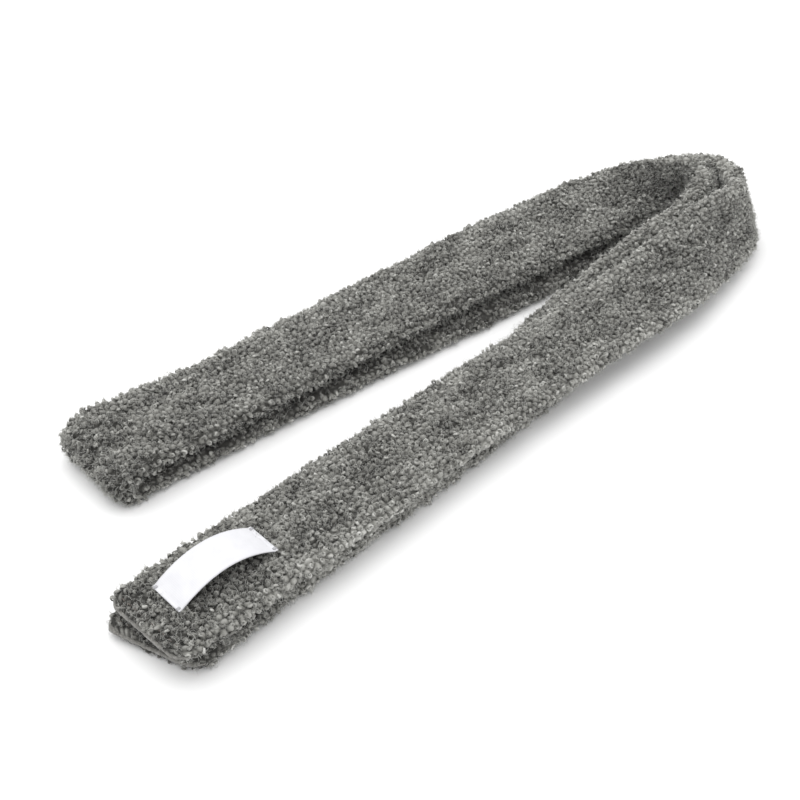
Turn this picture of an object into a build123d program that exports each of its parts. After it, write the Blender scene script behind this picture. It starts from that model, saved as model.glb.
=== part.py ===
from build123d import *
import os
from math import atan2, cos, degrees, hypot, pi, sin

# A long narrow muffler scarf of curly fleece, folded twice, lying on a table.
# It is two plies sewn back to back, with a blank woven label near one end.
#
# Frame: +X runs along the folded scarf towards its wide fold loop, +Y to the
# left of that, +Z up. The scarf lies on the plane Z = 0.
# Order along the strip: label end, label run (top of the near arm), outer
# loop, floor run (bottom of the far arm), turnback fold, upper run (top of
# the far arm), inner loop, plain run (bottom of the near arm), plain end.

# ---- driving dimensions, millimetres ---------------------------------------
width = 56.0            # finished width of the strip, pile included
run_thick = 9.4         # one flattened run: two plies and the gap between
ply_gap = 0.8           # space between the plies, held by the side seams
layer_gap = 0.5         # clearance between runs that lie on each other
curve_steps = 3         # facets of a curved stretch between two stations
seam_inset = 0.8        # side seam, from the long edge
seam_stitch_pitch = 18.0
seam_stitch_size = (4.0, 0.8, 0.25)
end_radius = 10.0       # plan rounding of the corners of the two ends
hem_width = 3.2         # smooth hem lip across each end
hem_thick = 5.0
hem_stitch_pitch = 4.0
hem_stitch_size = (0.7, 2.6, 0.5)
label_length = 53.5     # straight distance between its sewn ends
label_width = 20.0
label_thick = 0.5
label_rise = 8.0        # height of the arched middle over the sewn ends
tack_size = (2.2, 0.7, 0.6)

half_run = run_thick / 2
low_z = half_run                                # middle of a run on the table
high_z = low_z + run_thick + layer_gap          # middle of a run lying on it

# ---- route of the strip ----------------------------------------------------
# Each station is the left and the right edge of the strip's middle surface, as
# (along X, along Y, height) in strip widths. LOW is a run on the table and HIGH
# is a run on the run below it. At the wide end the two arms roll up on edge, so
# the left edge becomes the top edge of a standing U-turn.
LOW = low_z / width
HIGH = high_z / width
LABEL_FOLD = 1.13       # fold line of the label end, along X
PEEL_FOLD = 4.30        # fold line where the label run peels off the plain run
TURNBACK_FOLD = 1.75    # fold line of the far arm's free end
LABEL_BEND = 0.21       # half the length that bends at each fold line
PEEL_BEND = 0.35
TURNBACK_BEND = 0.30
FAR_ARM_END = 0.55      # start of the turnback's bend

stretches = {
    "label_bend": [
        ((LABEL_FOLD - LABEL_BEND, -0.397, HIGH), (LABEL_FOLD - LABEL_BEND, -1.366, HIGH)),
        ((LABEL_FOLD + LABEL_BEND, -0.379, HIGH), (LABEL_FOLD + LABEL_BEND, -1.350, HIGH)),
    ],
    "label_run": [
        ((PEEL_FOLD - PEEL_BEND, -0.274, HIGH), (PEEL_FOLD - PEEL_BEND, -1.253, HIGH)),
    ],
    "peel_bend": [
        ((PEEL_FOLD + PEEL_BEND, -0.262, 0.275), (PEEL_FOLD + PEEL_BEND, -1.240, 0.264)),
    ],
    "label_rise": [
        ((5.20, -0.28, 0.34), (5.25, -1.24, 0.27)),
        ((5.90, -0.36, 0.50), (6.05, -1.20, 0.24)),
        ((6.50, -0.38, 0.66), (6.70, -1.06, 0.19)),
        ((7.02, -0.42, 0.79), (7.25, -0.92, 0.13)),
    ],
    "outer_loop": [
        ((7.44, -0.50, 0.86), (7.74, -0.72, 0.10)),
        ((7.69, -0.34, 0.88), (8.02, -0.42, 0.10)),
        ((7.79, -0.06, 0.87), (8.10, -0.08, 0.10)),
        ((7.70, 0.24, 0.80), (7.92, 0.22, 0.10)),
    ],
    "floor_turn": [
        ((7.50, 0.82, 0.56), (7.34, 0.24, 0.11)),
        ((7.10, 1.06, 0.31), (6.90, 0.14, 0.10)),
        ((6.50, 1.17, LOW), (6.40, 0.14, LOW)),
    ],
    "floor_run": [
        ((TURNBACK_FOLD + TURNBACK_BEND, 1.424, LOW), (TURNBACK_FOLD + TURNBACK_BEND, 0.414, LOW)),
    ],
    "floor_bend": [
        ((TURNBACK_FOLD - TURNBACK_BEND, 1.436, LOW), (TURNBACK_FOLD - TURNBACK_BEND, 0.431, LOW)),
    ],
    "floor_end": [
        ((FAR_ARM_END + 0.05, 1.46, LOW), (FAR_ARM_END, 0.47, LOW)),
    ],
    "mid_fold": [],
    "upper_end": [
        ((FAR_ARM_END + 0.05, 1.50, 0.33), (FAR_ARM_END, 0.48, 0.27)),
        ((TURNBACK_FOLD - TURNBACK_BEND, 1.445, 0.300), (TURNBACK_FOLD - TURNBACK_BEND, 0.458, 0.264)),
    ],
    "upper_bend": [
        ((TURNBACK_FOLD + TURNBACK_BEND, 1.425, 0.290), (TURNBACK_FOLD + TURNBACK_BEND, 0.447, 0.263)),
    ],
    "upper_run": [
        ((3.20, 1.40, 0.31), (3.20, 0.42, 0.265)),
        ((5.20, 1.32, 0.37), (5.15, 0.32, 0.27)),
        ((6.20, 1.21, 0.43), (6.10, 0.25, 0.28)),
        ((6.82, 1.03, 0.53), (6.62, 0.21, 0.28)),
        ((7.20, 0.78, 0.67), (6.98, 0.16, 0.28)),
    ],
    "inner_loop": [
        ((7.50, 0.42, 0.77), (7.38, 0.14, 0.22)),
        ((7.54, 0.08, 0.82), (7.60, -0.10, 0.18)),
        ((7.30, -0.18, 0.82), (7.46, -0.36, 0.18)),
    ],
    "plain_rise": [
        ((7.05, -0.20, 0.73), (7.16, -0.60, 0.17)),
        ((6.55, -0.10, 0.57), (6.60, -0.83, 0.12)),
        ((5.87, -0.05, 0.38), (5.87, -0.97, 0.09)),
        ((5.20, 0.00, 0.17), (5.20, -0.98, LOW)),
    ],
    "plain_run": [
        ((4.30, -0.14, LOW), (4.30, -1.13, LOW)),
        ((0.66, -0.40, LOW), (0.66, -1.38, LOW)),
    ],
}


def turnback(start, end, steps=6):
    """Half turn from the floor run up to the upper run, at the far arm's free end."""
    turns = []
    for k in range(1, steps):
        angle = pi * k / steps
        share = (1 - cos(angle)) / 2
        turns.append(tuple(
            (p[0] + (q[0] - p[0]) * share - (q[2] - p[2]) * 0.62 * sin(angle),
             p[1] + (q[1] - p[1]) * share,
             p[2] + (q[2] - p[2]) * share)
            for p, q in zip(start, end)
        ))
    return turns


stretches["mid_fold"] = turnback(stretches["floor_end"][-1], stretches["upper_end"][0])

straight = (
    "label_bend", "label_run", "peel_bend", "floor_run", "floor_bend", "floor_end",
    "upper_end", "upper_bend", "mid_fold",
)
knots = []              # every station, as six numbers in strip widths
knot_span = {}          # first and last knot of each stretch
for name, stations in stretches.items():
    knot_span[name] = [max(len(knots) - 1, 0), len(knots) + len(stations) - 1]
    knots += [left + right for left, right in stations]
# the loops and the turnback end on the first station of the stretch after them
for name, following in (
    ("outer_loop", "floor_turn"), ("mid_fold", "upper_end"), ("inner_loop", "plain_rise"),
):
    knot_span[name][1] += 1
    knot_span[following][0] = knot_span[name][1]
straight_steps = {len(knots) - 2}
for name in straight:
    straight_steps.update(range(*knot_span[name]))


def gap(k):
    """Distance between the middles of knot k and the next one."""
    here, there = knots[k], knots[k + 1]
    return hypot(*((there[i] + there[i + 3] - here[i] - here[i + 3]) / 2 for i in range(3)))


def knot_slope(k, axis):
    """Slope of one coordinate at a knot that never overshoots its neighbours."""
    sides = [j for j in (k - 1, k) if 0 <= j < len(knots) - 1]
    slopes = [(knots[j + 1][axis] - knots[j][axis]) / gap(j) for j in sides]
    for j, slope in zip(sides, slopes):
        if j in straight_steps:
            return slope
    if len(slopes) == 1 or slopes[0] * slopes[1] <= 0:
        return slopes[0] if len(slopes) == 1 else 0.0
    return 2 * slopes[0] * slopes[1] / (slopes[0] + slopes[1])


def between(k, t):
    """Station a share t of the way from knot k to the next, on a smooth curve."""
    length = gap(k)
    point = []
    for axis in range(6):
        start, end = knots[k][axis], knots[k + 1][axis]
        leave, arrive = knot_slope(k, axis) * length, knot_slope(k + 1, axis) * length
        rest = 1 - t
        point.append(
            start * rest * rest * (1 + 2 * t) + end * t * t * (3 - 2 * t)
            + leave * t * rest * rest - arrive * t * t * rest
        )
    return Vector(*point[:3]) * width, Vector(*point[3:]) * width


route = []              # every station, as two vectors in millimetres
knot_place = []         # where each knot is in the route
for k in range(len(knots)):
    knot_place.append(len(route))
    parts_of_step = 1 if k in straight_steps or k == len(knots) - 1 else curve_steps
    route += [between(k, j / parts_of_step) if k < len(knots) - 1 else between(k - 1, 1.0)
              for j in range(parts_of_step)]
span = {name: (knot_place[a], knot_place[b]) for name, (a, b) in knot_span.items()}


# ---- solids that follow the route ------------------------------------------
def face_normal(index):
    """Unit normal of the strip's label side at one station of the route."""
    left, right = route[index]
    before = route[max(index - 1, 0)]
    after = route[min(index + 1, len(route) - 1)]
    ahead = (after[0] + after[1] - before[0] - before[1]).normalized()
    return ahead.cross((left - right).normalized()).normalized()


def cross_section(index, low, high):
    """Corners of a layer of the strip at one station."""
    left, right = route[index]
    normal = face_normal(index)
    return [
        right + normal * low, left + normal * low, left + normal * high, right + normal * high,
    ]


def flat_face(*corners):
    return Face(Wire.make_polygon(corners, close=True))


def side_faces(a, b, c, d):
    """One flat face over four corners, or two triangles, split from b to d, if twisted."""
    normal = (c - a).cross(d - b).normalized()
    if abs((b - a).dot(normal)) < 1e-6:
        return [flat_face(a, b, c, d)]
    return [flat_face(a, b, d), flat_face(b, c, d)]


def ply(first, last, low, high):
    """Solid of one ply of the strip from one station to another."""
    rings = [cross_section(index, low, high) for index in range(first, last + 1)]
    faces = [flat_face(*rings[0]), flat_face(*reversed(rings[-1]))]
    for ring, following in zip(rings, rings[1:]):
        # right, left, left, right: every split runs from this right to the next left
        for k, n in ((0, 1), (1, 2), (3, 0)):
            faces += side_faces(ring[n], ring[k], following[k], following[n])
        faces += side_faces(following[3], ring[3], ring[2], following[2])
    return Solid(Shell(faces))


def seam_stitches(first, last):
    """Row of stitches between the plies along both edges of one stretch."""
    stitch_long, *stitch_section = seam_stitch_size
    stitches = []
    for index in range(first, last):
        (left, right), (next_left, next_right) = route[index], route[index + 1]
        for near, far, inward in ((left, next_left, -1), (right, next_right, 1)):
            step = far - near
            count = max(1, round(step.length / seam_stitch_pitch))
            for k in range(count):
                share = (k + 0.5) / count
                across = ((left - right) * (1 - share) + (next_left - next_right) * share).normalized()
                spot = near + step * share + across * inward * seam_inset
                place = Plane(origin=spot, x_dir=step, z_dir=across.cross(step * -1))
                stitches.append(place * Box(min(stitch_long, step.length / 2), *stitch_section))
    return stitches


def segment_layers(first, last):
    """Face ply, back ply and side seams of one stretch of the strip."""
    half_gap = ply_gap / 2
    face_ply = ply(first, last, half_gap, half_run)
    back_ply = ply(first, last, -half_run, -half_gap)
    return face_ply, back_ply, seam_stitches(first, last)


# ---- the two free ends, flat, with rounded corners and a hem lip -------------
def upright_prism(outline, bottom, top):
    """Closed plan outline raised between two heights."""
    plan = make_face(Polyline(*[(p.X, p.Y, 0) for p in outline], close=True))
    return Pos(0, 0, bottom) * extrude(plan, top - bottom)


def free_end(root_left, root_right, tip_left, tip_right, middle_z):
    """Plies, seams, hem lip and hem stitches of one end of the strip."""
    inward = ((root_left + root_right) - (tip_left + tip_right)).normalized()
    across = (tip_left - tip_right).normalized()
    square_in = Vector(across.Y, -across.X, 0)
    if square_in.dot(inward) < 0:
        square_in = square_in * -1

    def layer(low, high):
        prism = upright_prism(
            [root_left, root_right, tip_right, tip_left], middle_z + low, middle_z + high
        )
        corners = prism.edges().filter_by(Axis.Z).sort_by(
            lambda edge: (edge.center() - tip_left).dot(inward)
        )
        return fillet(corners[:2], end_radius)

    def band(start, stop, low, high, reach=0.0):
        """Block across the end, between two distances from the tip."""
        a, b = tip_left + across * reach, tip_right - across * reach
        return upright_prism(
            [a + square_in * start, b + square_in * start,
             b + square_in * stop, a + square_in * stop],
            middle_z + low, middle_z + high,
        )

    half_gap = ply_gap / 2
    half_hem = hem_thick / 2
    beyond = 10.0       # the band runs past the end and its sides by this much
    whole_hem = band(-beyond, hem_width, -beyond, beyond, beyond)

    stitch_long, stitch_wide, stitch_high = hem_stitch_size
    sunk = 0.7 * stitch_high
    stitch_line = tip_left + square_in * (hem_width + 1.5)
    hem_run = (tip_left - tip_right).length
    stitch_count = int((hem_run - 2 * end_radius) / hem_stitch_pitch) + 1
    first = (hem_run - (stitch_count - 1) * hem_stitch_pitch) / 2
    turn = degrees(atan2(across.Y, across.X))
    stitches = []
    for k in range(stitch_count):
        spot = stitch_line - across * (first + k * hem_stitch_pitch)
        height = middle_z + half_run - sunk + stitch_high / 2
        stitches.append(
            Pos(spot.X, spot.Y, height) * Rot(0, 0, turn)
            * Box(stitch_wide, stitch_long, stitch_high)
        )
    face_ply = layer(half_gap, half_run) - whole_hem
    for stitch in stitches:
        face_ply = face_ply - stitch
    back_ply = layer(-half_run, -half_gap) - whole_hem
    hem = layer(-half_hem, half_hem) & whole_hem

    seams = []
    for edge_root, edge_tip, inward_sign in (
        (root_left, tip_left, -1), (root_right, tip_right, 1),
    ):
        step = edge_tip - edge_root
        step = Vector(step.X, step.Y, 0)
        reach = step.length - end_radius
        count = int(reach / seam_stitch_pitch)
        for k in range(count):
            spot = edge_root + step.normalized() * (k + 0.5) * reach / count
            spot = spot + across * inward_sign * (seam_inset + 1.0)
            heading = degrees(atan2(step.Y, step.X))
            seams.append(Pos(spot.X, spot.Y, middle_z) * Rot(0, 0, heading) * Box(*seam_stitch_size))
    return face_ply, back_ply, seams, hem, stitches


# ---- label -------------------------------------------------------------------
def woven_label(middle, base_z):
    """Blank woven label: flat feet and an arched middle."""
    foot = 3.2
    half = label_length / 2
    sections = make_face([
        Line((-half, 0), (-half + foot, 0)),
        ThreePointArc((-half + foot, 0), (0, label_rise), (half - foot, 0)),
        Line((half - foot, 0), (half, 0)),
        Line((half, 0), (half, label_thick)),
        Line((half, label_thick), (half - foot, label_thick)),
        ThreePointArc(
            (half - foot, label_thick), (0, label_rise + label_thick),
            (-half + foot, label_thick),
        ),
        Line((-half + foot, label_thick), (-half, label_thick)),
        Line((-half, label_thick), (-half, 0)),
    ])
    upright = Plane(
        origin=(middle.X, middle.Y + label_width / 2, base_z), x_dir=(1, 0, 0), z_dir=(0, -1, 0)
    )
    label = extrude(upright * sections, label_width)
    tack_long, tack_wide, tack_high = tack_size
    tacks = [
        Pos(
            middle.X + side_x * (half - foot / 2),
            middle.Y + side_y * (label_width / 2 - 1.6),
            base_z + label_thick + tack_high / 2,
        ) * Box(tack_long, tack_wide, tack_high)
        for side_x in (-1, 1)
        for side_y in (-1, 1)
    ]
    return label, tacks


# ---- assembly ----------------------------------------------------------------
parts = {}


def add_layers(name, layers):
    """Store the two plies and the pair of side seams of one stretch."""
    face_ply, back_ply, seams = layers
    parts[name + "_face_ply"] = face_ply
    parts[name + "_back_ply"] = back_ply
    parts[name + "_seams"] = Compound(children=seams)


for name, (first, last) in span.items():
    add_layers(name, segment_layers(first, last))

label_tip_left = Vector(-0.40, -0.455, 0) * width
label_tip_right = Vector(-0.35, -1.425, 0) * width
label_root_left, label_root_right = route[0]
label_end = free_end(
    label_root_left, label_root_right, label_tip_left, label_tip_right, high_z
)
plain_tip_left = Vector(-0.52, -0.50, 0) * width
plain_tip_right = Vector(-0.21, -1.41, 0) * width
plain_root_left, plain_root_right = route[-1]
plain_end = free_end(
    plain_root_left, plain_root_right, plain_tip_left, plain_tip_right, low_z
)
for name, (face_ply, back_ply, seams, hem, stitches) in (
    ("label_end", label_end), ("plain_end", plain_end),
):
    add_layers(name, (face_ply, back_ply, seams))
    parts[name + "_hem"] = hem
    parts[name + "_stitches"] = Compound(children=stitches)

label_middle = Vector(0.385, -0.86, 0) * width
label, tacks = woven_label(label_middle, high_z + half_run)
parts["woven_label"] = label
parts["label_tacks"] = Compound(children=tacks)

# the row's origin is the middle of the whole outline, on the table
boxes = [shape.bounding_box() for shape in parts.values()]
middle_x = (min(box.min.X for box in boxes) + max(box.max.X for box in boxes)) / 2
middle_y = (min(box.min.Y for box in boxes) + max(box.max.Y for box in boxes)) / 2
to_origin = Pos(-middle_x, -middle_y, 0)
print("origin moved by", round(-middle_x, 4), round(-middle_y, 4))

os.makedirs("parts", exist_ok=True)
for name, shape in parts.items():
    export_step(to_origin * shape, f"parts/{name}.step")
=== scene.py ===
from math import ceil, cos, pi, radians, sin

import bpy
import numpy as np
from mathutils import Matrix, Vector


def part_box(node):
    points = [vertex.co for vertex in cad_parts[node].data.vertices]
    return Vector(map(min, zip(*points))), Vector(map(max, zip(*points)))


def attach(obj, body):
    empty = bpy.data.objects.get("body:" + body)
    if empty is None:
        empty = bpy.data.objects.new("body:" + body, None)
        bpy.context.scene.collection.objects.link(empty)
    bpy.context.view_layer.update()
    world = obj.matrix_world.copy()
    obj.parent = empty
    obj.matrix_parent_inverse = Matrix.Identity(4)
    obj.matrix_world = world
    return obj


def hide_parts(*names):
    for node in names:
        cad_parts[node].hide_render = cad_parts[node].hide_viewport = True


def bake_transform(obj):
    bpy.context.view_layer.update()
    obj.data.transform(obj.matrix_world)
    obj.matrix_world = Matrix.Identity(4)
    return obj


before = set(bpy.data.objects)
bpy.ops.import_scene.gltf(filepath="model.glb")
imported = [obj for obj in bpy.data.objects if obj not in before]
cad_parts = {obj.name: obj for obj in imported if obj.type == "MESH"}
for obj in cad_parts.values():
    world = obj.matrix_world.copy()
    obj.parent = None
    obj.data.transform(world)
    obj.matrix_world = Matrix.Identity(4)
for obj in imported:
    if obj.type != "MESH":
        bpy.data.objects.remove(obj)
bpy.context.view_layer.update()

rng = np.random.default_rng(23)

# ---- sizes, in metres --------------------------------------------------------
MM = 0.001
WIDTH = 56 * MM                 # finished width of the strip
RUN_THICK = 9.4 * MM            # one flattened run of two plies
LAYER_GAP = 0.5 * MM
PILE = 1.5 * MM                 # how far the curls stand over the ground fabric
END_RADIUS = 10 * MM            # plan rounding at the two ends
NOSE = 6 * MM                   # over this length an end thins down to the hem
TIP_SHARE = 0.2                 # of its thickness that is left there
TIP_INSET = 0.9 * MM            # the ground fabric stops this far short of the hem's edge
STITCH_INSET = 4.4 * MM         # hem stitches, from the tip
STITCH_LONG = 2.6 * MM
STITCH_PITCH = 4 * MM
STITCH_REACH = 18 * MM          # half the length of a row of hem stitches
LIP_DEEP, LIP_HIGH = 1.15 * MM, 1.0 * MM    # half sizes of a hem lip's section
TACK_THREADS = 5                # threads in the bar tack at each corner of the label
TACK_PITCH = 0.28 * MM
TACK_LONG = 2.6 * MM
LABEL_LENGTH = 53.5 * MM
LABEL_WIDTH = 20 * MM
LABEL_ARCH = 8.2 * MM
LABEL_FOOT = 1.5 * MM           # flat length at each end of the arch
LABEL_THICK = 0.45 * MM

# ---- route of the strip, in strip widths ---------------------------------------
# Each station is the left and the right edge of the strip's middle surface.
LOW = RUN_THICK / 2 / WIDTH
HIGH = LOW + (RUN_THICK + LAYER_GAP) / WIDTH
LABEL_FOLD, LABEL_BEND = 1.13, 0.21     # fold lines, and half the length that bends there
PEEL_FOLD, PEEL_BEND = 4.30, 0.35
TURNBACK_FOLD, TURNBACK_BEND = 1.75, 0.30
FAR_ARM_END = 0.55


def turnback():
    """Half turn from the floor run up to the upper run, at the far arm's free end."""
    steps, bulge = 6, 0.62
    start = ((FAR_ARM_END + 0.05, 1.46, LOW), (FAR_ARM_END, 0.47, LOW))
    end = ((FAR_ARM_END + 0.05, 1.50, 0.33), (FAR_ARM_END, 0.48, 0.27))
    stations = []
    for k in range(1, steps):
        angle = pi * k / steps
        share = (1 - cos(angle)) / 2
        stations.append(tuple(
            (p[0] - (q[2] - p[2]) * bulge * sin(angle), p[1] + (q[1] - p[1]) * share,
             p[2] + (q[2] - p[2]) * share)
            for p, q in zip(start, end)
        ))
    return [start] + stations + [end]


ROUTE = (
    ("label_end", [((-0.40, -0.455, HIGH), (-0.35, -1.425, HIGH))]),
    ("label_run", [((LABEL_FOLD, -0.388, HIGH), (LABEL_FOLD, -1.358, HIGH))]),
    ("label_rise", [
        ((PEEL_FOLD, -0.255, HIGH), (PEEL_FOLD, -1.20, HIGH)),
        ((5.20, -0.27, 0.34), (5.25, -1.20, 0.27)),
        ((5.90, -0.35, 0.50), (6.05, -1.17, 0.22)),
        ((6.50, -0.38, 0.66), (6.70, -1.05, 0.17)),
        ((7.02, -0.42, 0.79), (7.25, -0.92, 0.11)),
    ]),
    ("outer_loop", [
        ((7.44, -0.50, 0.86), (7.74, -0.72, 0.05)),
        ((7.69, -0.34, 0.88), (8.02, -0.42, 0.03)),
        ((7.79, -0.06, 0.87), (8.10, -0.08, 0.03)),
        ((7.70, 0.24, 0.80), (7.92, 0.22, 0.03)),
    ]),
    ("floor_turn", [
        ((7.50, 0.82, 0.56), (7.34, 0.24, 0.05)),
        ((7.10, 1.06, 0.31), (6.90, 0.14, 0.07)),
    ]),
    ("floor_run", [
        ((6.50, 1.17, LOW), (6.40, 0.14, LOW)),
        ((TURNBACK_FOLD, 1.43, LOW), (TURNBACK_FOLD, 0.42, LOW)),
    ]),
    ("mid_fold", turnback()[:-1]),
    ("upper_run", [
        turnback()[-1],
        ((TURNBACK_FOLD, 1.435, 0.295), (TURNBACK_FOLD, 0.452, 0.264)),
        ((3.20, 1.40, 0.31), (3.20, 0.42, 0.265)),
        ((5.20, 1.32, 0.37), (5.15, 0.32, 0.27)),
        ((6.20, 1.21, 0.43), (6.10, 0.25, 0.28)),
        ((6.82, 1.03, 0.53), (6.62, 0.21, 0.28)),
    ]),
    ("inner_loop", [
        ((7.20, 0.78, 0.67), (6.98, 0.16, 0.28)),
        ((7.48, 0.44, 0.79), (7.52, 0.16, 0.16)),
        ((7.58, 0.10, 0.87), (7.80, -0.08, 0.08)),
        ((7.33, -0.20, 0.85), (7.58, -0.36, 0.08)),
    ]),
    ("plain_run", [
        ((7.05, -0.20, 0.73), (7.18, -0.60, 0.10)),
        ((6.55, -0.10, 0.57), (6.60, -0.83, 0.09)),
        ((5.87, -0.05, 0.38), (5.87, -0.97, 0.09)),
        ((5.20, 0.00, 0.17), (5.20, -0.95, LOW)),
        ((4.30, -0.12, LOW), (4.30, -1.08, LOW)),
    ]),
    ("plain_end", [
        ((0.66, -0.37, LOW), (0.66, -1.34, LOW)),
        ((-0.52, -0.50, LOW), (-0.21, -1.41, LOW)),
    ]),
)
LABEL_MIDDLE = (0.385, -0.86)

# the route's own zero, from where the label lies in the row frame
label_low, label_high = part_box("woven_label")
label_centre = (label_low + label_high) / 2
ORIGIN = np.array([
    label_centre.x - LABEL_MIDDLE[0] * WIDTH, label_centre.y - LABEL_MIDDLE[1] * WIDTH, 0.0,
])


# ---- the smooth route ------------------------------------------------------------
def knot_slopes(knots, gaps):
    """Slopes that never overshoot: the harmonic mean of the two sides, or none at a turn."""
    steps = np.diff(knots, axis=0) / gaps[:, None]
    before, after = steps[:-1], steps[1:]
    same = before * after > 0
    mean = 2 * before * after / np.where(same, before + after, 1.0)
    return np.vstack([steps[:1], np.where(same, mean, 0.0), steps[-1:]])


knots = np.array([left + right for _, stations in ROUTE for left, right in stations])
knot_of, passed = {}, 0         # first knot of each stretch
for name, stations in ROUTE:
    knot_of[name] = passed
    passed += len(stations)
middles = (knots[:, :3] + knots[:, 3:]) / 2
gaps = np.linalg.norm(np.diff(middles, axis=0), axis=1)
slopes = knot_slopes(knots, gaps)

FINE = 24                       # samples of the smooth route between two knots
samples = []
for k, length in enumerate(gaps):
    t = np.arange(FINE)[:, None] / FINE
    samples.append(
        knots[k] * (1 - t) ** 2 * (1 + 2 * t) + knots[k + 1] * t * t * (3 - 2 * t)
        + slopes[k] * length * t * (1 - t) ** 2 - slopes[k + 1] * length * t * t * (1 - t)
    )
samples = np.vstack(samples + [knots[-1:]]) * WIDTH + np.tile(ORIGIN, 2)
middle_line = (samples[:, :3] + samples[:, 3:]) / 2
run = np.concatenate([[0], np.cumsum(np.linalg.norm(np.diff(middle_line, axis=0), axis=1))])
start_of = {name: run[k * FINE] for name, k in knot_of.items()}
TOTAL = run[-1]
end_of = dict(zip(start_of, [*start_of.values(), TOTAL][1:]))


def edges_at(s):
    """Left and right edges of the strip at distances s along it."""
    both = np.stack([np.interp(s, run, samples[:, axis]) for axis in range(6)], axis=-1)
    return both[..., :3], both[..., 3:]


def unit(v):
    return v / np.linalg.norm(v, axis=-1, keepdims=True)


def ripple(points, length, seed):
    """Smooth noise of about one wavelength, mostly between -1 and 1."""
    waves = 14
    draw = np.random.default_rng(seed)
    direction = unit(draw.normal(size=(waves, 3)))
    pace = 2 * pi / (length * draw.uniform(0.75, 1.35, waves))
    phase = draw.uniform(0, 2 * pi, waves)
    total = np.zeros(points.shape[:-1])
    for way, speed, shift in zip(direction, pace, phase):
        total += np.sin(points @ way * speed + shift)
    return total / np.sqrt(waves / 2) / 1.6


BEND_R = RUN_THICK / 2 - PILE   # half thickness of the ground fabric, and its edge radius
HALF_FLAT = WIDTH / 2 - PILE - BEND_R
GIRTH = 4 * HALF_FLAT + 2 * pi * BEND_R
PRESSED = 1.0 * MM              # below this height the fleece is pressed by the floor


def above_floor(points):
    """The same points, with those that would reach the floor pressed flat on it."""
    z = points[..., 2]
    low = PRESSED * np.exp(np.minimum(z / PRESSED - 1, 0))
    return np.concatenate([points[..., :2], np.where(z < PRESSED, low, z)[..., None]], axis=-1)


def rounding(t):
    """Place across, and the normal across and up, round a section with round long edges."""
    quarter, face = pi * BEND_R / 2, 2 * HALF_FLAT
    d = (t % 1.0) * GIRTH
    starts = np.cumsum([quarter, face, 2 * quarter, face])      # of each part after the first
    before = [d < start for start in starts]
    shift = np.select(before, [
        HALF_FLAT, HALF_FLAT - (d - starts[0]), -HALF_FLAT, -HALF_FLAT + (d - starts[2]),
    ], HALF_FLAT)
    turn = np.select(before, [
        d / BEND_R, pi / 2, pi / 2 + (d - starts[1]) / BEND_R, 3 * pi / 2,
    ], 3 * pi / 2 + (d - starts[3]) / BEND_R)
    return shift, np.cos(turn), np.sin(turn)


def pressed_share(s, t):
    """1 where one flat run lies on the next, 0 on the outer side and where the strip stands."""
    left, right = edges_at(s)
    slope = np.abs(left[..., 2] - right[..., 2]) / WIDTH
    standing = np.clip((slope - 0.06) / 0.15, 0, 1)
    _, _, top = rounding(t)
    return np.clip(-1.5 * top, 0, 1) * (1 - standing)


CLUMP = 3.5 * MM                # spacing of the small clumps of the pile
CLUMP_RISE = 1.9 * MM
CLUMP_ROWS, CLUMP_COLUMNS = round(TOTAL / CLUMP), round(GIRTH / CLUMP)
clump_draw = np.random.default_rng(31)
clump_shift = clump_draw.uniform(-0.38, 0.38, (2, CLUMP_ROWS, CLUMP_COLUMNS))


def clump_height(s, t):
    """Height of the clumps, from 0 in the crevices between them to 1 on their crowns.

    Each clump is a cell round its own point, so a crevice is where two points are equally near.
    """
    row, column = s / TOTAL * CLUMP_ROWS, (t % 1.0) * CLUMP_COLUMNS
    i, j = np.floor(row).astype(int), np.floor(column).astype(int)
    nearest, second = np.full(s.shape, 9.0), np.full(s.shape, 9.0)
    for di in (-1, 0, 1):
        for dj in (-1, 0, 1):
            cell = (i + di) % CLUMP_ROWS, (j + dj) % CLUMP_COLUMNS
            distance = np.hypot(i + di + 0.5 + clump_shift[0][cell] - row,
                                j + dj + 0.5 + clump_shift[1][cell] - column)
            second = np.minimum(second, np.maximum(distance, nearest))
            nearest = np.minimum(nearest, distance)
    return np.sqrt(np.clip((second - nearest) / 0.6, 0, 1)) * (1 - 0.3 * nearest)


def along_stretch(s, name):
    """1 along one stretch of the strip, falling to 0 just beyond its ends."""
    middle = (start_of[name] + end_of[name]) / 2
    half = (end_of[name] - start_of[name]) / 2 + 0.4 * WIDTH
    x = np.clip(1.4 - 1.4 * np.abs(s - middle) / half, 0, 1)
    return x * x * (3 - 2 * x)


FULLER = {"outer_loop": 0.55, "inner_loop": 0.60, "mid_fold": 0.35}


def fullness(s):
    """The fleece stands fuller in the two loops and at the far arm's fold."""
    return 1 + sum(more * along_stretch(s, name) for name, more in FULLER.items())


# shares of the way from dark to light fleece, each one a painted light or painted shade
# painted shade in the crevices between the clumps, painted light on their crowns
CREVICE_SHADE_TONE, CROWN_LIGHT_TONE = -0.16, 0.46
# painted shade where one run presses on another
PRESSED_SHADE_TONE = -0.10
# painted sheen on the sides and along the edges; painted shade along one edge of the far arm and
# the inner loop
EDGE_SHEEN_TONE, RIM_SHEEN_TONE, INNER_RIM_SHADE_TONE = 0.10, 0.12, -0.048
# painted shade towards the two ends
END_SHADE_TONE, END_REACH = -0.10, 75 * MM
# painted shade at the far arm's fold and inside the U-turn
FOLD_SHADE_TONE, HOLLOW_SHADE_TONE = -0.08, -0.22


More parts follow.
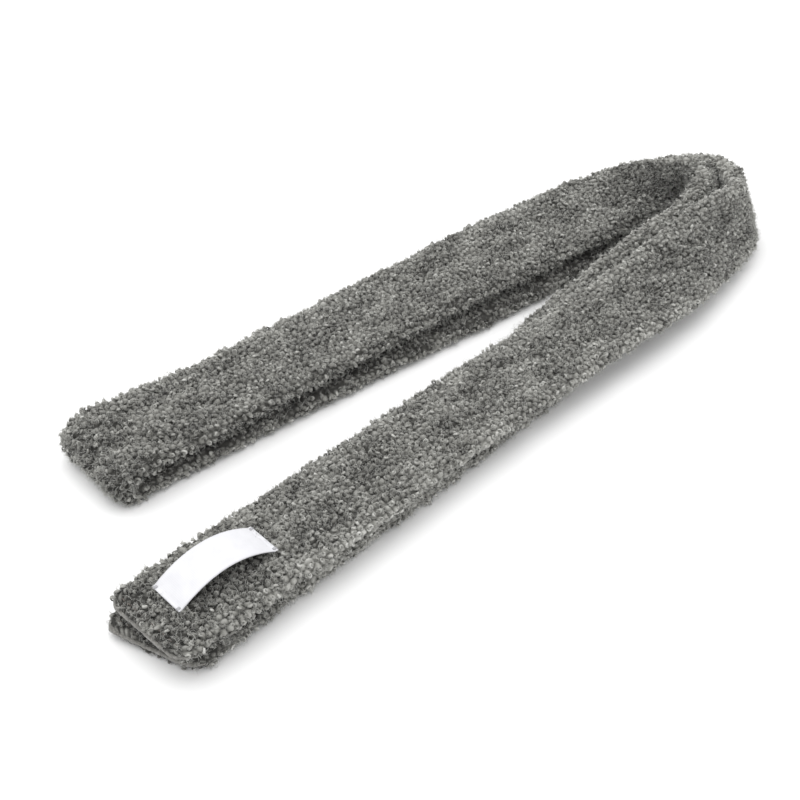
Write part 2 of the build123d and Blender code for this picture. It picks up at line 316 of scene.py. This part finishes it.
def fleece_tone(point, s, t, crown):
    """Soft random patches of tone, with painted light and shade over them.

    Painted shade in the crevices between the clumps and painted light on their crowns; a painted
    sheen on the strip's sides and edges; painted shade along one edge of the far arm and the inner
    loop, at the two ends, at the far arm's fold, inside the U-turn and where one run presses on
    another.
    """
    shift, side, top = rounding(t)
    rim = np.clip(np.abs(shift) / HALF_FLAT / 0.5 - 1, 0, 1) ** 2
    inner_edge = (shift < 0) & (s > start_of["floor_turn"]) & (s < start_of["plain_run"])
    near_end = np.clip(1 - np.minimum(s, TOTAL - s) / END_REACH, 0, 1)
    return (
        # painted shade in the crevices, painted light on the clump crowns
        CREVICE_SHADE_TONE + (CROWN_LIGHT_TONE - CREVICE_SHADE_TONE) * crown
        + 0.11 * ripple(point, 15 * MM, 9) + 0.07 * ripple(point, 7 * MM, 10)
        # painted shade where runs press on each other, and a painted sheen on the strip's sides
        + PRESSED_SHADE_TONE * pressed_share(s, t) + EDGE_SHEEN_TONE * side ** 4
        # painted sheen along the edges, painted shade along one edge of the far arm and the inner
        # loop
        + rim * np.where(inner_edge, INNER_RIM_SHADE_TONE, RIM_SHEEN_TONE)
        # painted shade at the two ends and at the far arm's fold
        + END_SHADE_TONE * near_end + FOLD_SHADE_TONE * along_stretch(s, "mid_fold")
        # painted shade inside the U-turn
        + HOLLOW_SHADE_TONE * along_stretch(s, "inner_loop") * np.clip(top, 0, 1)
    )


def fleece_surface(s, t):
    """Point, outward normal and along-direction of the ground fabric, and its tone with painted
    light and shade.
    """
    left, right = edges_at(s)
    ahead, back = (edges_at(np.clip(s + step, 0, TOTAL)) for step in (1.5 * MM, -1.5 * MM))
    along = unit(ahead[0] + ahead[1] - back[0] - back[1])
    across = unit(left - right)
    up = unit(np.cross(along, across))
    middle = (left + right) / 2
    from_end = np.minimum(s, TOTAL - s)
    corner = np.clip(END_RADIUS - from_end, 0, END_RADIUS)
    narrowing = END_RADIUS - np.sqrt(END_RADIUS ** 2 - corner ** 2)
    half = np.linalg.norm(left - right, axis=-1) / 2 - PILE - narrowing
    shift, side, top = rounding(t)
    nose = np.clip(from_end / NOSE, 0, 1)
    thin = TIP_SHARE + (1 - TIP_SHARE) * np.sqrt(nose * (2 - nose))
    y = shift * (half - BEND_R) / HALF_FLAT + side * BEND_R
    z = top * BEND_R * thin * fullness(s)
    y, z = y[..., None], z[..., None]
    point = middle + across * y + up * z
    normal = unit(across * side[..., None] + up * top[..., None])
    crown, pressed = clump_height(s, t), pressed_share(s, t)
    tone = fleece_tone(point, s, t, crown)
    lump = 0.6 * MM * ripple(point, 13 * MM, 5) + 0.35 * MM * ripple(point, 6 * MM, 6)
    lump += CLUMP_RISE * (crown - 0.55) * thin * (1 - 0.5 * pressed) - 0.3 * MM * pressed
    return above_floor(point + normal * lump[..., None]), normal, along, tone


# ---- meshes ----------------------------------------------------------------------------
def mesh_object(name, points, faces, uvs=None, tone=None):
    """Smooth-shaded mesh; faces are all of one size, and uvs hold one pair per corner."""
    mesh = bpy.data.meshes.new(name)
    count, corners = faces.shape
    mesh.vertices.add(len(points))
    mesh.vertices.foreach_set("co", points.astype(np.float32).ravel())
    mesh.loops.add(count * corners)
    mesh.loops.foreach_set("vertex_index", faces.astype(np.int32).ravel())
    mesh.polygons.add(count)
    mesh.polygons.foreach_set("loop_start", np.arange(0, count * corners, corners, dtype=np.int32))
    mesh.polygons.foreach_set("use_smooth", np.ones(count, dtype=bool))
    if uvs is not None:
        layer = mesh.uv_layers.new(name="OFBake")
        layer.data.foreach_set("uv", uvs.astype(np.float32).ravel())
    if tone is not None:
        attribute = mesh.attributes.new("tone", "FLOAT", "POINT")
        attribute.data.foreach_set("value", tone.astype(np.float32))
    mesh.update(calc_edges=True)
    mesh.validate()
    piece = bpy.data.objects.new(name, mesh)
    bpy.context.scene.collection.objects.link(piece)
    return piece


def grid_faces(rows, columns, wrap):
    """Quads of a grid of points, closed across if wrap."""
    steps = columns if wrap else columns - 1
    i, j = np.divmod(np.arange((rows - 1) * steps), steps)
    after = (j + 1) % columns
    return np.stack([i * columns + j, i * columns + after, (i + 1) * columns + after,
                     (i + 1) * columns + j], axis=1)


def rectangles(u, v, wide, high):
    """Texture corners of many small rectangles, one for each face."""
    return np.stack([
        np.stack([u, v], -1), np.stack([u, v + high], -1),
        np.stack([u + wide, v + high], -1), np.stack([u + wide, v], -1),
    ], axis=1).reshape(-1, 2)


GROUND_STEP = 0.85 * MM
GROUND_AROUND = 144             # points round a section
GROUND_SHADE_TONE = -0.06             # painted shade: the ground under the curls is a little darker than the curls on it


def ground_fabric(name, first, last):
    """The knitted ground of one stretch, lumpy and closed at its ends."""
    around = GROUND_AROUND
    rows = max(4, ceil((last - first) / GROUND_STEP) + 1)
    s, t = np.meshgrid(np.linspace(first, last, rows), np.arange(around) / around, indexing="ij")
    points, _, _, tone = fleece_surface(s, t)
    points = points.reshape(-1, 3)
    faces = grid_faces(rows, around, True)
    i, j = np.divmod(np.arange(len(faces)), around)
    side_share = 0.9                # of the texture square; the two ends take the rest
    wide = side_share / (rows - 1)
    uvs = [rectangles(i * wide, j / around, wide, 1 / around)]
    # each end is closed by quads from one long edge to the other
    half = around // 2
    across = np.arange(half - 1)
    for row, turned, u in ((0, True, 0.92), (rows - 1, False, 0.96)):
        base = row * around
        cap = np.stack([base + across, base + across + 1, base + around - across - 1,
                        base + (around - across) % around], axis=1)
        faces = np.vstack([faces, cap[:, ::-1] if turned else cap])
        uvs.append(rectangles(np.full(half - 1, u), across / half, 0.03, 1 / half))
    # the ground gets painted shade under its curls
    return mesh_object(name, points, faces, np.vstack(uvs), tone.ravel() + GROUND_SHADE_TONE)


CURL_PITCH = 2.5 * MM
CURL_LIMIT = 2000               # curls in one piece
CURL_RINGS, CURL_SIDES = 9, 3
HAIR_RINGS, HAIR_SIDES = 3, 3
HAIRS = 4                       # loose fibres to a curl
# the least and the most of each, in millimetres
CURL_RADIUS, CURL_THICK, CURL_HEIGHT = (0.75, 1.2), (0.50, 0.80), (0.6, 1.5)
HAIR_REACH, HAIR_THICK = (1.4, 3.3), (0.04, 0.08)
CURL_SWEEP = (4.2, 7.8)         # how far a curl turns, in radians
LIGHTEST_TONE, HAIR_TONE = 0.85, 0.78


def curl_anchors(first, last, crowd):
    """Jittered grid over one stretch of the ground fabric, crowded along its length."""
    rows, columns = max(1, round((last - first) * crowd / CURL_PITCH)), round(GIRTH / CURL_PITCH)
    i, j = np.divmod(np.arange(rows * columns), columns)
    s = first + (i + rng.uniform(0.02, 0.98, len(i))) * (last - first) / rows
    t = (j + 0.5 * (i % 2) + rng.uniform(-0.42, 0.42, len(i))) / columns
    return s, t % 1.0


def curl_share(s, t):
    """Share of the curls kept: fewer where runs press on each other and along the hem stitches."""
    from_end = np.minimum(s, TOTAL - s)
    share = np.where(np.abs(from_end - STITCH_INSET) < 0.7 * MM, 0.5, 1.0)
    return share * (1 - 0.35 * pressed_share(s, t))


def tubes(path, fat, axis, sides):
    """Points round each path, ring by ring; axis is roughly square to the path."""
    flow = np.empty_like(path)
    flow[:, 1:-1] = path[:, 2:] - path[:, :-2]
    flow[:, 0], flow[:, -1] = path[:, 1] - path[:, 0], path[:, -1] - path[:, -2]
    flow = unit(flow)
    axis = np.broadcast_to(axis[:, None], flow.shape)
    first_side = unit(axis - flow * np.sum(axis * flow, axis=-1, keepdims=True))
    second_side = np.cross(flow, first_side)
    turn = np.arange(sides) / sides * 2 * pi
    return (
        path[:, :, None] + first_side[:, :, None] * (fat[..., None] * np.cos(turn))[..., None]
        + second_side[:, :, None] * (fat[..., None] * np.sin(turn))[..., None]
    )


def tube_faces(count, rings, sides):
    """Quads of the sides of many tubes; the ends shrink to nothing."""
    one = grid_faces(rings, sides, True)
    return (one[None] + (np.arange(count) * rings * sides)[:, None, None]).reshape(-1, 4)


def curl_tubes(anchor, normal, u, v, shade):
    """Points and tone of one yarn curl on each anchor, turning in the plane of u and v."""
    count = len(anchor)
    part = np.linspace(0, 1, CURL_RINGS)
    radius = rng.uniform(*CURL_RADIUS, count) * MM
    sweep = rng.uniform(*CURL_SWEEP, count)
    angle = rng.uniform(0, 2 * pi, count)[:, None] + part * sweep[:, None]
    swell = (0.45 + 0.55 * np.sin(pi * part)) * radius[:, None]
    bulge = np.sin(pi * np.clip(part * 1.15, 0, 1)) ** 0.8
    height = rng.uniform(*CURL_HEIGHT, count)[:, None] * MM * bulge - 0.5 * MM
    lean = rng.uniform(-0.5, 0.5, (count, 1)) * MM * part
    path = (
        anchor[:, None] + u[:, None] * (swell * np.cos(angle) + lean)[..., None]
        + v[:, None] * (swell * np.sin(angle))[..., None] + normal[:, None] * height[..., None]
    )
    thick = rng.uniform(*CURL_THICK, count) * MM
    fat = thick[:, None] * np.sqrt(np.clip(np.sin(pi * (0.06 + 0.88 * part)), 0, 1))
    points = above_floor(tubes(path, fat, np.cross(u, v), CURL_SIDES))
    # painted light: lighter towards the top of each curl
    above = np.sum((points - anchor[:, None, None]) * normal[:, None, None], axis=-1) / (2.4 * MM)
    shade = shade + rng.normal(0, 0.07, count)
    tone = np.clip(0.50 * above - 0.06, -0.1, 1) + shade[:, None, None]
    return points, np.minimum(tone, LIGHTEST_TONE)


def hair_tubes(anchor, normal, u):
    """Points of the loose fibres round each anchor, rising and then falling over."""
    number = len(anchor) * HAIRS
    roots, outward, across = (np.repeat(values, HAIRS, axis=0) for values in (anchor, normal, u))
    spread = rng.uniform(0, 2 * pi, number)[:, None]
    across = across * np.cos(spread) + np.cross(outward, across) * np.sin(spread)
    part = np.linspace(0, 1, HAIR_RINGS)
    reach = rng.uniform(*HAIR_REACH, number)[:, None] * MM
    sway = rng.uniform(-1.4, 1.4, number)[:, None] * MM
    path = (
        roots[:, None] + outward[:, None] * (reach * np.sin(part * 1.9))[..., None]
        + across[:, None] * (sway * part + reach * 0.7 * part ** 2)[..., None]
    )
    thin = rng.uniform(*HAIR_THICK, number)[:, None] * MM * (1.1 - 0.7 * part)
    return above_floor(tubes(path, thin, np.cross(outward, across), HAIR_SIDES))


def pile(name, first, last, crowd):
    """Curled yarn over one stretch of the ground fabric, with loose fibres standing out of it."""
    s, t = curl_anchors(first, last, crowd)
    chosen = rng.uniform(0, 1, len(s)) < curl_share(s, t)
    s, t = s[chosen], t[chosen]
    anchor, normal, along, shade = fleece_surface(s, t)
    count = len(s)
    heading = rng.uniform(0, 2 * pi, count)[:, None]
    u = unit(along * np.cos(heading) + np.cross(normal, along) * np.sin(heading))
    tilt = rng.uniform(0.0, 0.8, count)[:, None]
    v = np.cross(normal, u) * np.cos(tilt) + normal * np.sin(tilt)
    points, tone = curl_tubes(anchor, normal, u, v, shade)
    hair = hair_tubes(anchor, normal, u)
    hair_tone = np.full(hair.shape[:-1], HAIR_TONE)
    faces = np.vstack([
        tube_faces(count, CURL_RINGS, CURL_SIDES),
        tube_faces(count * HAIRS, HAIR_RINGS, HAIR_SIDES) + tone.size,
    ])
    uvs = np.vstack([
        tube_uvs(count, CURL_RINGS, CURL_SIDES) * [1, 0.85],
        tube_uvs(count * HAIRS, HAIR_RINGS, HAIR_SIDES) * [1, 0.14] + [0, 0.86],
    ])
    return mesh_object(name, np.vstack([points.reshape(-1, 3), hair.reshape(-1, 3)]), faces, uvs,
                       np.concatenate([tone.ravel(), hair_tone.ravel()]))


def tube_uvs(count, rings, sides):
    """One cell of the unit square for each tube, with its sides laid out flat in it."""
    cells, margin = ceil(np.sqrt(count)), 0.04
    ring, side = np.divmod(np.arange((rings - 1) * sides), sides)
    index = np.arange(count)[:, None]
    wide, high = (1 - 2 * margin) / (rings - 1), (1 - 2 * margin) / sides
    u = (index % cells + margin + wide * ring) / cells
    v = (index // cells + margin + high * side) / cells
    return rectangles(u.ravel(), v.ravel(), wide / cells, high / cells)


# ---- materials ------------------------------------------------------------------------
def new_material(name):
    material = bpy.data.materials.new(name)
    material.use_nodes = True
    tree = material.node_tree
    shader = tree.nodes["Principled BSDF"]
    return material, tree, shader


def node(tree, kind, **values):
    made = tree.nodes.new(kind)
    for key, value in values.items():
        if key in made.inputs:
            made.inputs[key].default_value = value
        else:
            setattr(made, key, value)
    return made


def ramp(tree, source, stops):
    made = tree.nodes.new("ShaderNodeValToRGB")
    tree.links.new(source, made.inputs["Fac"])
    elements = made.color_ramp.elements
    while len(elements) < len(stops):
        elements.new(0.5)
    for element, (position, colour) in zip(elements, stops):
        element.position = position
        element.color = (*colour, 1)
    return made.outputs["Color"]


def object_coordinates(tree):
    return tree.nodes.new("ShaderNodeTexCoord").outputs["Object"]


def bumped(tree, shader, height, strength, distance):
    bump = node(tree, "ShaderNodeBump", Strength=strength, Distance=distance)
    tree.links.new(height, bump.inputs["Height"])
    tree.links.new(bump.outputs["Normal"], shader.inputs["Normal"])


def fleece_material():
    """Grey curled yarn with fine fibres; its tone carries painted shade in the hollows and painted
    light on the curls.
    """
    material, tree, shader = new_material("curly_fleece")
    at = object_coordinates(tree)
    tone = node(tree, "ShaderNodeAttribute", attribute_name="tone")
    fibre = node(tree, "ShaderNodeTexNoise", Scale=1500.0, Detail=3.0, Roughness=0.7)
    tree.links.new(at, fibre.inputs["Vector"])
    spread = node(tree, "ShaderNodeMath", operation="MULTIPLY_ADD")
    spread.inputs[1].default_value, spread.inputs[2].default_value = 0.30, -0.15
    tree.links.new(fibre.outputs["Fac"], spread.inputs[0])
    total = node(tree, "ShaderNodeMath", operation="ADD")
    tree.links.new(tone.outputs["Fac"], total.inputs[0])
    tree.links.new(spread.outputs["Value"], total.inputs[1])
    colour = ramp(tree, total.outputs["Value"], (
        (0.0, (0.050, 0.049, 0.045)), (0.3, (0.215, 0.213, 0.197)),
        (0.6, (0.42, 0.418, 0.392)), (1.0, (0.66, 0.66, 0.63)),
    ))
    tree.links.new(colour, shader.inputs["Base Color"])
    shader.inputs["Roughness"].default_value = 0.92
    shader.inputs["Specular IOR Level"].default_value = 0.2
    shader.inputs["Sheen Weight"].default_value = 0.35
    shader.inputs["Sheen Roughness"].default_value = 0.4
    bumped(tree, shader, fibre.outputs["Fac"], 0.6, 0.0003)
    return material


def hem_material():
    """Smooth knitted edge tape with fine ribs."""
    material, tree, shader = new_material("hem_edge")
    at = object_coordinates(tree)
    rib = node(tree, "ShaderNodeTexNoise", Scale=900.0, Detail=4.0, Roughness=0.6)
    tree.links.new(at, rib.inputs["Vector"])
    colour = ramp(tree, rib.outputs["Fac"], (
        (0.3, (0.11, 0.105, 0.098)), (0.55, (0.20, 0.195, 0.18)), (0.75, (0.30, 0.295, 0.275)),
    ))
    tree.links.new(colour, shader.inputs["Base Color"])
    shader.inputs["Roughness"].default_value = 0.85
    shader.inputs["Sheen Weight"].default_value = 0.3
    bumped(tree, shader, rib.outputs["Fac"], 0.6, 0.0004)
    return material


def label_material():
    """White satin weave: fine warp and weft ribs with slight unevenness."""
    material, tree, shader = new_material("label_weave")
    at = object_coordinates(tree)
    weave = []
    for direction in ("X", "Y"):
        wave = node(tree, "ShaderNodeTexWave", Scale=420.0, Distortion=0.6, Detail=1.0)
        wave.wave_type, wave.bands_direction = "BANDS", direction
        tree.links.new(at, wave.inputs["Vector"])
        weave.append(wave.outputs["Fac"])
    crossing = node(tree, "ShaderNodeMath", operation="MULTIPLY")
    for source, socket in zip(weave, crossing.inputs):
        tree.links.new(source, socket)
    cloudy = node(tree, "ShaderNodeTexNoise", Scale=160.0, Detail=2.0)
    tree.links.new(at, cloudy.inputs["Vector"])
    blend = node(tree, "ShaderNodeMath", operation="MULTIPLY_ADD")
    blend.inputs[1].default_value = 0.35
    tree.links.new(crossing.outputs["Value"], blend.inputs[0])
    tree.links.new(cloudy.outputs["Fac"], blend.inputs[2])
    colour = ramp(tree, blend.outputs["Value"], (
        (0.3, (0.66, 0.66, 0.69)), (0.9, (0.74, 0.74, 0.765)),
    ))
    tree.links.new(colour, shader.inputs["Base Color"])
    shader.inputs["Roughness"].default_value = 0.6
    shader.inputs["Sheen Weight"].default_value = 0.1
    bumped(tree, shader, crossing.outputs["Value"], 0.25, 0.00012)
    return material


def thread_material(name, dark, light):
    """Twisted sewing thread."""
    material, tree, shader = new_material(name)
    at = object_coordinates(tree)
    twist = node(tree, "ShaderNodeTexNoise", Scale=2200.0, Detail=2.0)
    tree.links.new(at, twist.inputs["Vector"])
    colour = ramp(tree, twist.outputs["Fac"], ((0.35, dark), (0.7, light)))
    tree.links.new(colour, shader.inputs["Base Color"])
    shader.inputs["Roughness"].default_value = 0.75
    bumped(tree, shader, twist.outputs["Fac"], 0.5, 0.0002)
    return material


FLEECE, HEM, LABEL = fleece_material(), hem_material(), label_material()
THREAD = thread_material("thread", (0.075, 0.062, 0.055), (0.20, 0.175, 0.155))
TACK = thread_material("tack_thread", (0.36, 0.36, 0.38), (0.62, 0.62, 0.64))


def dress(piece, material):
    piece.data.materials.clear()
    piece.data.materials.append(material)


# ---- bodies and fold lines --------------------------------------------------------------
def blend_x(piece):
    """Bake the piece's place into its mesh, for a fold line along X; the piece is not bent."""
    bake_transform(piece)


def at_label_end(piece):
    blend_x(piece)


def at_peel(piece):
    blend_x(piece)


def at_turnback(piece):
    blend_x(piece)


def at_outer_loop(piece):
    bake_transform(piece)


def at_inner_loop(piece):
    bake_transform(piece)


def with_body(body):
    return lambda piece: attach(piece, body)


def layers(*names):
    return [f"{name}_{part}" for name in names for part in ("face_ply", "back_ply", "seams")]


label_split = start_of["label_run"] + 1.5 * WIDTH
STRETCHES = (
    ("label_end", TIP_INSET, label_split, at_label_end, layers("label_end", "label_bend")),
    ("label_arm", label_split, start_of["outer_loop"], at_peel,
     layers("label_run", "peel_bend", "label_rise")),
    ("outer_loop", start_of["outer_loop"], start_of["floor_turn"], at_outer_loop,
     layers("outer_loop")),
    ("floor_run", start_of["floor_turn"], start_of["mid_fold"], at_turnback,
     layers("floor_turn", "floor_run", "floor_bend", "floor_end")),
    ("turnback", start_of["mid_fold"], start_of["upper_run"], with_body("turnback"),
     layers("mid_fold")),
    ("upper_run", start_of["upper_run"], start_of["inner_loop"], at_turnback,
     layers("upper_end", "upper_bend", "upper_run")),
    ("inner_loop", start_of["inner_loop"], start_of["plain_run"], at_inner_loop,
     layers("inner_loop")),
    ("plain_run", start_of["plain_run"], TOTAL - TIP_INSET, with_body("near_arm"),
     layers("plain_rise", "plain_run", "plain_end")),
)


# a bend's outer side is longer than its middle, so its curls are set closer along the strip
CROWDED = {"turnback": 2.3, "outer_loop": 1.25, "inner_loop": 1.25}

for name, first, last, moves, nodes in STRETCHES:
    ground = ground_fabric(f"{name}_fleece", first, last)
    dress(ground, FLEECE)
    moves(ground)
    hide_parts(*nodes)
    crowd = CROWDED.get(name, 1.0)
    parts = ceil((last - first) * crowd * GIRTH / CURL_PITCH ** 2 / CURL_LIMIT)
    cuts = np.linspace(first, last, parts + 1)
    for number, (start, stop) in enumerate(zip(cuts, cuts[1:]), 1):
        piece = pile(f"{name}_pile_{number}", start, stop, crowd)
        dress(piece, FLEECE)
        moves(piece)


# ---- label ---------------------------------------------------------------------------------
def woven_label():
    """Arched label with a flat foot at each end."""
    rows, columns = 65, 21
    x = np.linspace(-LABEL_LENGTH / 2, LABEL_LENGTH / 2, rows)
    y = np.linspace(-LABEL_WIDTH / 2, LABEL_WIDTH / 2, columns)
    x, y = np.meshgrid(x, y, indexing="ij")
    inner = LABEL_LENGTH / 2 - LABEL_FOOT
    arch = np.where(np.abs(x) < inner, LABEL_ARCH * (1 - (x / inner) ** 2), 0.0)
    z = label_low.z + 0.2 * MM + arch
    under = np.stack([x + label_centre.x, y + label_centre.y, z], axis=-1).reshape(-1, 3)
    points = np.vstack([under + [0, 0, LABEL_THICK], under])
    faces = grid_faces(rows, columns, False)
    border = np.concatenate([
        np.arange(columns), np.arange(1, rows) * columns + columns - 1,
        (rows - 1) * columns + np.arange(columns - 2, -1, -1), np.arange(rows - 2, 0, -1) * columns,
    ])
    after = np.roll(border, -1)
    rim = np.stack([border, after, after + len(under), border + len(under)], axis=1)
    faces = np.vstack([faces[:, ::-1], faces + len(under), rim])
    return mesh_object("woven_label_cloth", points, faces)


label = woven_label()
dress(label, LABEL)
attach(label, "label_end")
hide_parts("woven_label")


# ---- hem lips, stitches and tacks ------------------------------------------------------------
def tip_point(from_tip, y, up, at_start):
    """Point of one end: distance from the tip, place across, height over the middle."""
    s = np.asarray(from_tip, float) if at_start else TOTAL - np.asarray(from_tip, float)
    left, right = edges_at(s)
    return (left + right) / 2 + unit(left - right) * y[..., None] + [0, 0, 1] * up[..., None]


def hem_lip(name, at_start):
    """Soft turned lip along the rounded outline of one end, with a crease between its plies."""
    stations, sides = 110, 16
    reach = WIDTH / 2 - PILE
    v = np.linspace(-1, 1, stations)
    y = v * (reach - 0.9 * MM)
    corner = np.clip(np.abs(y) - (reach - END_RADIUS), 0, END_RADIUS)
    inset = END_RADIUS - np.sqrt(END_RADIUS ** 2 - corner ** 2) + 1.0 * MM
    turn = np.arange(sides) / sides * 2 * pi
    taper = np.sqrt(np.clip(1 - np.abs(v) ** 14, 0.04, 1))
    spot = tip_point(inset, y, np.zeros(stations), at_start)
    uneven = 1 + 0.18 * ripple(spot, 5 * MM, 11) + 0.12 * ripple(spot, 2 * MM, 12)
    size = (uneven * taper)[:, None]
    crease = 1 - 0.3 * np.exp(-np.sin(turn) ** 2 / 0.05) * (np.cos(turn) < 0)
    from_tip = inset[:, None] + LIP_DEEP * size * np.cos(turn) * crease
    up = LIP_HIGH * size * np.sin(turn)
    points = tip_point(from_tip, np.broadcast_to(y[:, None], up.shape), up, at_start)
    return mesh_object(name, above_floor(points).reshape(-1, 3), grid_faces(stations, sides, True))


def thread_arcs(name, ends, lift, thick):
    """Short threads, each an arc that rises from the fabric and dips back into it."""
    rings, sides = 9, 6
    part = np.linspace(0, 1, rings)
    starts, stops = ends
    path = starts[:, None] * (1 - part)[:, None] + stops[:, None] * part[:, None]
    path = path + np.array([0, 0, 1]) * (lift * (np.sin(pi * part) - 0.35))[:, None]
    fat = np.broadcast_to(thick * np.sqrt(np.sin(pi * (0.08 + 0.84 * part))), path.shape[:2])
    axis = np.broadcast_to([0.0, 0.0, 1.0], starts.shape)
    points = tubes(path, fat, axis, sides)
    return mesh_object(name, points.reshape(-1, 3), tube_faces(len(starts), rings, sides))


def hem_stitches(name, at_start):
    """Row of short stitches behind one hem lip, sunk among the curls."""
    y = np.arange(-STITCH_REACH, STITCH_REACH + 0.1 * MM, STITCH_PITCH)
    uneven = rng.uniform(-0.3, 0.3, len(y)) * MM
    height = np.full(len(y), BEND_R * 0.9)
    ends = [
        tip_point(np.full(len(y), STITCH_INSET) + uneven * side, y + side * STITCH_LONG / 2, height,
                  at_start)
        for side in (-1, 1)
    ]
    return thread_arcs(name, ends, 0.8 * MM, 0.30 * MM)


def label_tacks():
    """Bar tack of a few threads at each corner of the label."""
    x = LABEL_LENGTH / 2 - 1.0 * MM
    y = LABEL_WIDTH / 2 - 1.6 * MM
    ends = ([], [])
    for side_x in (-1, 1):
        for side_y in (-1, 1):
            for k in range(TACK_THREADS):
                middle = Vector((label_centre.x + side_x * x, label_centre.y + side_y * y,
                                 label_low.z + 0.75 * MM))
                middle.y += (k - (TACK_THREADS - 1) / 2) * TACK_PITCH
                for end, way in zip(ends, (-1, 1)):
                    end.append(middle + Vector((way * TACK_LONG / 2, 0, 0)))
    return thread_arcs("label_bar_tacks", [np.array(end) for end in ends], 0.35 * MM, 0.15 * MM)


for body, prefix, at_start in (("label_end", "label_end", True), ("near_arm", "plain_end", False)):
    lip = hem_lip(f"{prefix}_lip", at_start)
    dress(lip, HEM)
    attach(lip, body)
    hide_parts(f"{prefix}_hem")
    stitches = hem_stitches(f"{prefix}_threads", at_start)
    dress(stitches, THREAD)
    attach(stitches, body)
    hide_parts(f"{prefix}_stitches")
tacks = label_tacks()
dress(tacks, TACK)
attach(tacks, "label_end")
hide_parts("label_tacks")


# ---- floor, light and camera -------------------------------------------------------------------
def floor():
    """Plain pale floor, large enough to fill the view from any side."""
    far = 6.0
    mesh = bpy.data.meshes.new("floor")
    mesh.from_pydata([(-far, -far, 0), (far, -far, 0), (far, far, 0), (-far, far, 0)], [],
                     [(0, 1, 2, 3)])
    made = bpy.data.objects.new("floor", mesh)
    bpy.context.scene.collection.objects.link(made)
    material, _, shader = new_material("floor")
    shader.inputs["Base Color"].default_value = (0.93, 0.93, 0.93, 1)
    shader.inputs["Roughness"].default_value = 0.9
    shader.inputs["Specular IOR Level"].default_value = 0.1
    mesh.materials.append(material)


def area_light(name, at, towards, size, power):
    data = bpy.data.lights.new(name, "AREA")
    data.shape, data.size, data.energy = "DISK", size, power
    made = bpy.data.objects.new(name, data)
    made.location = at
    made.rotation_mode = "QUATERNION"
    made.rotation_quaternion = (Vector(towards) - Vector(at)).to_track_quat("-Z", "Y")
    bpy.context.scene.collection.objects.link(made)


CAMERA_BACK = (-2.30, 7.40)     # the route's zero as the camera sees it, in strip widths
CAMERA_HEADING = radians(43)
CAMERA_PITCH = radians(39)
CAMERA_HEIGHT = 432.9 * MM
SENSOR = 36.0
LENS = 58.46


def camera():
    """Standing in front of the ends, to the left, looking along the arms."""
    data = bpy.data.cameras.new("camera")
    data.sensor_width, data.lens = SENSOR, LENS
    data.clip_start, data.clip_end = 0.02, 20
    made = bpy.data.objects.new("camera", data)
    heading = Vector((sin(CAMERA_HEADING), cos(CAMERA_HEADING), 0))
    aside = Vector((cos(CAMERA_HEADING), -sin(CAMERA_HEADING), 0))
    ground = Vector(ORIGIN) - aside * CAMERA_BACK[0] * WIDTH - heading * CAMERA_BACK[1] * WIDTH
    made.location = ground + Vector((0, 0, CAMERA_HEIGHT))
    look = heading * cos(CAMERA_PITCH) - Vector((0, 0, sin(CAMERA_PITCH)))
    made.rotation_mode = "QUATERNION"
    made.rotation_quaternion = look.to_track_quat("-Z", "Y")
    bpy.context.scene.collection.objects.link(made)
    bpy.context.scene.camera = made


def sky(strength):
    world = bpy.data.worlds.new("world")
    world.use_nodes = True
    background = world.node_tree.nodes["Background"]
    background.inputs["Color"].default_value = (1, 1, 1, 1)
    background.inputs["Strength"].default_value = strength
    bpy.context.scene.world = world


floor()
sky(1.0)
area_light("key", (-0.1, 0.5, 1.5), (0, 0, 0), 2.2, 16)
camera()
bpy.context.scene.view_settings.view_transform = "Standard"
